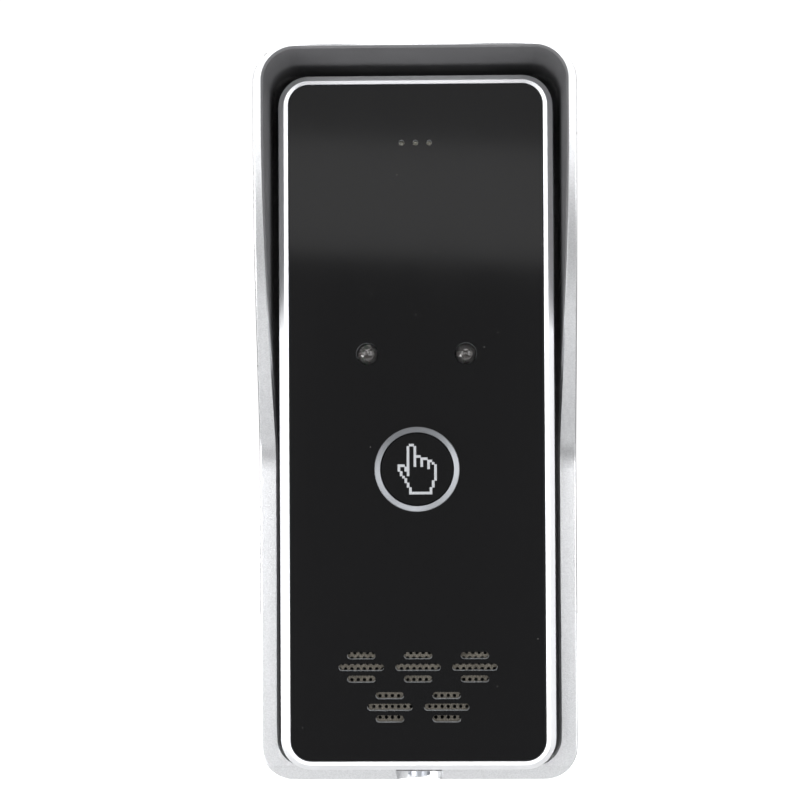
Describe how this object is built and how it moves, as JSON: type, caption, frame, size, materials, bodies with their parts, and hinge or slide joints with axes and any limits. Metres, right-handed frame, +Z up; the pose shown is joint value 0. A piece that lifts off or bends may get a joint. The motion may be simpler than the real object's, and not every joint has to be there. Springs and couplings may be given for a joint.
{
  "type": "door intercom panel",
  "caption": "Slim upright door intercom in a silver rain hood, with a glossy black panel, round hand-sign call button, lamps, microphone holes and slotted speaker.",
  "frame": {"origin": "centre of the hood's wall face", "axes": "+Z up, +Y into the wall, +X to the right of a visitor who faces the panel"},
  "size_m": [0.079, 0.045, 0.176],
  "materials": {
    "hood_paint": "fine metallic silver paint over moulded ABS",
    "bezel_silver": "satin",
    "trim_silver": "satin plated",
    "black_acrylic": "polished",
    "black_abs": "fine moulded texture",
    "black_rubber": "matte",
    "foam_tape": "closed-cell foam",
    "zinc_steel": "zinc plated",
    "mesh_steel": "perforated sheet, nickel plated",
    "board_green": "solder mask",
    "chip_black": "moulded epoxy",
    "can_sleeve": "shrunk sleeve",
    "terminal_green": "moulded",
    "connector_white": "moulded",
    "icon_white": "moulded",
    "clear_epoxy": "clear",
    "felt_cream": "felt",
    "magnet_grey": "ferrite with plated cup",
    "cone_paper": "pressed film"
  },
  "bodies": {
    "station": {"rain_hood": "hood_paint", "cable_grommet": "black_rubber", "lock_screw": "zinc_steel", "bezel_frame": "bezel_silver", "front_panel": "black_acrylic", "panel_tape": "foam_tape", "front_housing": "black_abs", "rear_housing": "black_abs", "housing_seal": "black_rubber", "housing_screws": "zinc_steel", "main_board": "board_green", "board_screws": "zinc_steel", "audio_chips": "chip_black", "capacitors": "can_sleeve", "terminal_block": "terminal_green", "terminal_screws": "zinc_steel", "speaker_connector": "connector_white", "tact_switch": "black_abs", "button_ring": "trim_silver", "led_left": "clear_epoxy", "led_right": "clear_epoxy", "led_holders": "black_abs", "mic_capsule": "zinc_steel", "mic_boot": "black_rubber", "mic_felt": "felt_cream", "speaker_grille": "mesh_steel", "speaker_gasket": "foam_tape", "speaker_basket": "zinc_steel", "speaker_magnet": "magnet_grey"},
    "call_button": {"button_cap": "black_acrylic", "hand_icon": "icon_white"},
    "switch_plunger": {"switch_stem": "black_abs"},
    "speaker_diaphragm": {"speaker_cone": "cone_paper"}
  },
  "joints": [
    {"name": "call_button_press", "type": "slide", "parent": "station", "child": "call_button", "axis": [0, 1, 0], "range_m": [0, 0.0005], "stiffness_N_per_m": 1600, "springref_m": -0.0005},
    {"name": "switch_plunger_press", "type": "slide", "parent": "station", "child": "switch_plunger", "axis": [0, 1, 0], "range_m": [0, 0.0005]},
    {"name": "speaker_diaphragm_travel", "type": "slide", "parent": "station", "child": "speaker_diaphragm", "axis": [0, -1, 0], "range_m": [-0.0003, 0.0003], "stiffness_N_per_m": 900}
  ],
  "couplings": [
    {"joint": "switch_plunger_press", "follows": "call_button_press", "ratio": 1}
  ]
}
